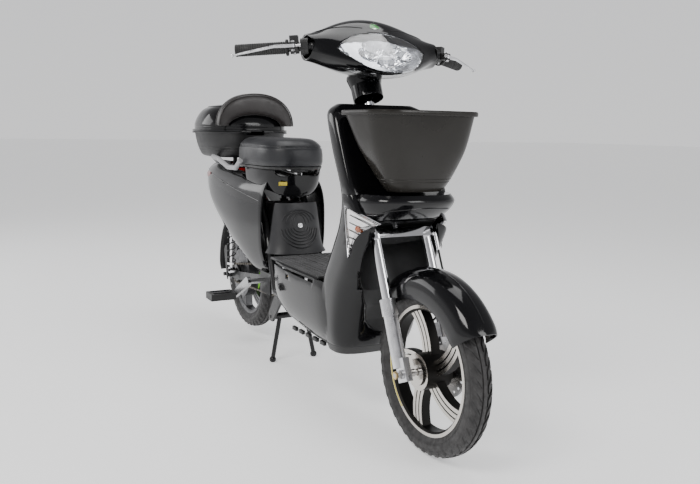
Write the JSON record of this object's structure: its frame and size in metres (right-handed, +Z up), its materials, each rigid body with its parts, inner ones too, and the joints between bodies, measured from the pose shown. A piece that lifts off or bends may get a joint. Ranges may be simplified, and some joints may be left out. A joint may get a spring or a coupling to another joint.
{
  "type": "moped scooter",
  "caption": "Pedal-assisted electric moped scooter with front basket, flat foot floor, single seat, rear trunk with backrest and centre stand.",
  "frame": {"origin": "on the ground, midway between the front tyre's leading edge and the trunk's trailing edge", "axes": "+X forward, +Y to the rider's left, +Z up"},
  "size_m": [1.8, 0.7716, 1.1],
  "materials": {
    "gloss_black": "high gloss",
    "trim_black": "fine grain",
    "basket_plastic": "semi-gloss moulded",
    "column_grey": "fine grain",
    "mat_rubber": "ribbed",
    "frame_paint": "satin",
    "seat_vinyl": "grained vinyl",
    "backrest_vinyl": "grained vinyl",
    "rail_grey": "silver paint",
    "alloy": "machined and painted",
    "chrome": "polished",
    "steel": "satin",
    "wheel_alloy": "dark cast alloy with machined faces",
    "motor_alloy": "cast",
    "tyre_rubber": "treaded",
    "grip_rubber": "ribbed",
    "clear_lens": "clear",
    "signal_lens": "clear with an orange bulb",
    "reflector": "faceted reflector",
    "red_lens": "red",
    "hose_rubber": "satin",
    "horn_yellow": "satin",
    "switch_grey": "satin",
    "chain_steel": "oiled",
    "spring_steel": "gloss paint"
  },
  "bodies": {
    "frame": {"main_frame": "frame_paint", "battery_box": "trim_black", "leg_shield": "gloss_black", "front_panel": "gloss_black", "inner_fender": "trim_black", "basket": "basket_plastic", "front_signal_housings": "reflector", "front_signal_lenses": "signal_lens", "right_side_cover": "gloss_black", "left_side_cover": "gloss_black", "belly_tray": "trim_black", "footboard": "trim_black", "floor_mat": "mat_rubber", "column_cover": "column_grey", "under_seat_cover": "gloss_black", "right_rear_cover": "gloss_black", "left_rear_cover": "gloss_black", "tail_lamp": "red_lens", "rear_fender": "trim_black", "grab_rail": "rail_grey", "trunk_tub": "trim_black", "shock_bodies": "frame_paint", "shock_springs": "spring_steel"},
    "steering": {"fork_upper": "chrome", "handlebar": "frame_paint", "head_cowl": "gloss_black", "headlight_housing": "reflector", "headlight_lens": "clear_lens", "neck_cover": "gloss_black", "left_grip": "grip_rubber", "switch_housings": "trim_black", "lever_perches": "trim_black"},
    "fork_lower": {"fork_legs": "alloy", "front_axle": "steel", "front_fender": "gloss_black", "brake_caliper": "motor_alloy", "brake_hose": "hose_rubber"},
    "front_wheel": {"front_tyre": "tyre_rubber", "front_rim": "wheel_alloy", "brake_rotor": "steel"},
    "throttle": {"throttle_grip": "grip_rubber"},
    "right_brake": {"right_lever": "alloy"},
    "left_brake": {"left_lever": "alloy"},
    "horn": {"horn_button": "horn_yellow"},
    "light": {"light_switch": "switch_grey"},
    "key": {"key_barrel": "steel"},
    "swing_arm": {"swing_arm": "frame_paint", "chain_guard": "trim_black", "drive_chain": "chain_steel"},
    "rear_wheel": {"rear_tyre": "tyre_rubber", "hub_motor": "motor_alloy"},
    "shock_lower": {"shock_rods": "chrome"},
    "crank": {"crank_set": "steel"},
    "right_pedal": {"right_pedal": "trim_black"},
    "left_pedal": {"left_pedal": "trim_black"},
    "stand": {"centre_stand": "frame_paint"},
    "seat": {"seat_cushion": "seat_vinyl", "seat_base": "trim_black"},
    "trunk_lid": {"trunk_lid": "gloss_black", "backrest_pad": "backrest_vinyl"}
  },
  "joints": [
    {"name": "steering", "type": "hinge", "parent": "frame", "child": "steering", "pos_m": [0.64663, 0, 0.19792], "axis": [-0.4067, 0, 0.9135], "range_deg": [-40, 40]},
    {"name": "front_fork", "type": "slide", "parent": "steering", "child": "fork_lower", "axis": [-0.4067, 0, 0.9135], "range_m": [0, 0.05], "stiffness_N_per_m": 8000, "springref_m": -0.03},
    {"name": "front_wheel", "type": "hinge", "parent": "fork_lower", "child": "front_wheel", "pos_m": [0.685, 0, 0.215], "axis": [0, 1, 0], "continuous": true},
    {"name": "throttle", "type": "hinge", "parent": "steering", "child": "throttle", "pos_m": [0.362, -0.18, 1.015], "axis": [-0.4988, -0.8639, -0.0698], "range_deg": [0, 75], "stiffness_Nm_per_rad": 0.15, "springref_deg": -20.05},
    {"name": "left_brake_lever", "type": "hinge", "parent": "steering", "child": "left_brake", "pos_m": [0.36651, 0.2402, 1.01151], "axis": [-0.0349, 0.0604, 0.9976], "range_deg": [0, 10.5], "stiffness_Nm_per_rad": 2, "springref_deg": -8.59},
    {"name": "right_brake_lever", "type": "hinge", "parent": "steering", "child": "right_brake", "pos_m": [0.36651, -0.2402, 1.01151], "axis": [0.0349, 0.0604, -0.9976], "range_deg": [0, 10.5], "stiffness_Nm_per_rad": 2, "springref_deg": -8.59},
    {"name": "horn_button", "type": "slide", "parent": "steering", "child": "horn", "axis": [0.866, 0.5, 0], "range_m": [0, 0.002], "stiffness_N_per_m": 400, "springref_m": -0.002},
    {"name": "light_switch", "type": "slide", "parent": "steering", "child": "light", "axis": [0.866, -0.5, 0], "range_m": [0, 0.002], "stiffness_N_per_m": 400, "springref_m": -0.002},
    {"name": "key", "type": "hinge", "parent": "frame", "child": "key", "pos_m": [0.302, -0.058, 0.8], "axis": [-1, 0, 0], "range_deg": [0, 90]},
    {"name": "swing_arm", "type": "hinge", "parent": "frame", "child": "swing_arm", "pos_m": [-0.203, 0, 0.283], "axis": [0, 1, 0], "range_deg": [0, 4.5], "stiffness_Nm_per_rad": 900, "springref_deg": -2.86},
    {"name": "rear_wheel", "type": "hinge", "parent": "swing_arm", "child": "rear_wheel", "pos_m": [-0.568, 0, 0.242], "axis": [0, 1, 0], "continuous": true},
    {"name": "rear_shock", "type": "slide", "parent": "frame", "child": "shock_lower", "axis": [0, 0, 1], "range_m": [0, 0.02374], "deforming": ["shock_springs"]},
    {"name": "crank", "type": "hinge", "parent": "frame", "child": "crank", "pos_m": [-0.203, 0, 0.283], "axis": [0, 1, 0], "continuous": true},
    {"name": "right_pedal", "type": "hinge", "parent": "crank", "child": "right_pedal", "pos_m": [-0.33544, -0.2, 0.21258], "axis": [0, 1, 0], "continuous": true},
    {"name": "left_pedal", "type": "hinge", "parent": "crank", "child": "left_pedal", "pos_m": [-0.07056, 0.2, 0.35342], "axis": [0, 1, 0], "continuous": true},
    {"name": "centre_stand", "type": "hinge", "parent": "frame", "child": "stand", "pos_m": [-0.172, 0, 0.16], "axis": [0, 1, 0], "range_deg": [0, 80]},
    {"name": "seat", "type": "hinge", "parent": "frame", "child": "seat", "pos_m": [-0.121, 0, 0.664], "axis": [0, 1, 0], "range_deg": [0, 80]},
    {"name": "trunk_lid", "type": "hinge", "parent": "frame", "child": "trunk_lid", "pos_m": [-0.50984, 0, 0.788], "axis": [0, 1, 0], "range_deg": [0, 55]}
  ],
  "couplings": [
    {"joint": "rear_shock", "follows": "swing_arm", "m_per_rad": 0.30227}
  ]
}
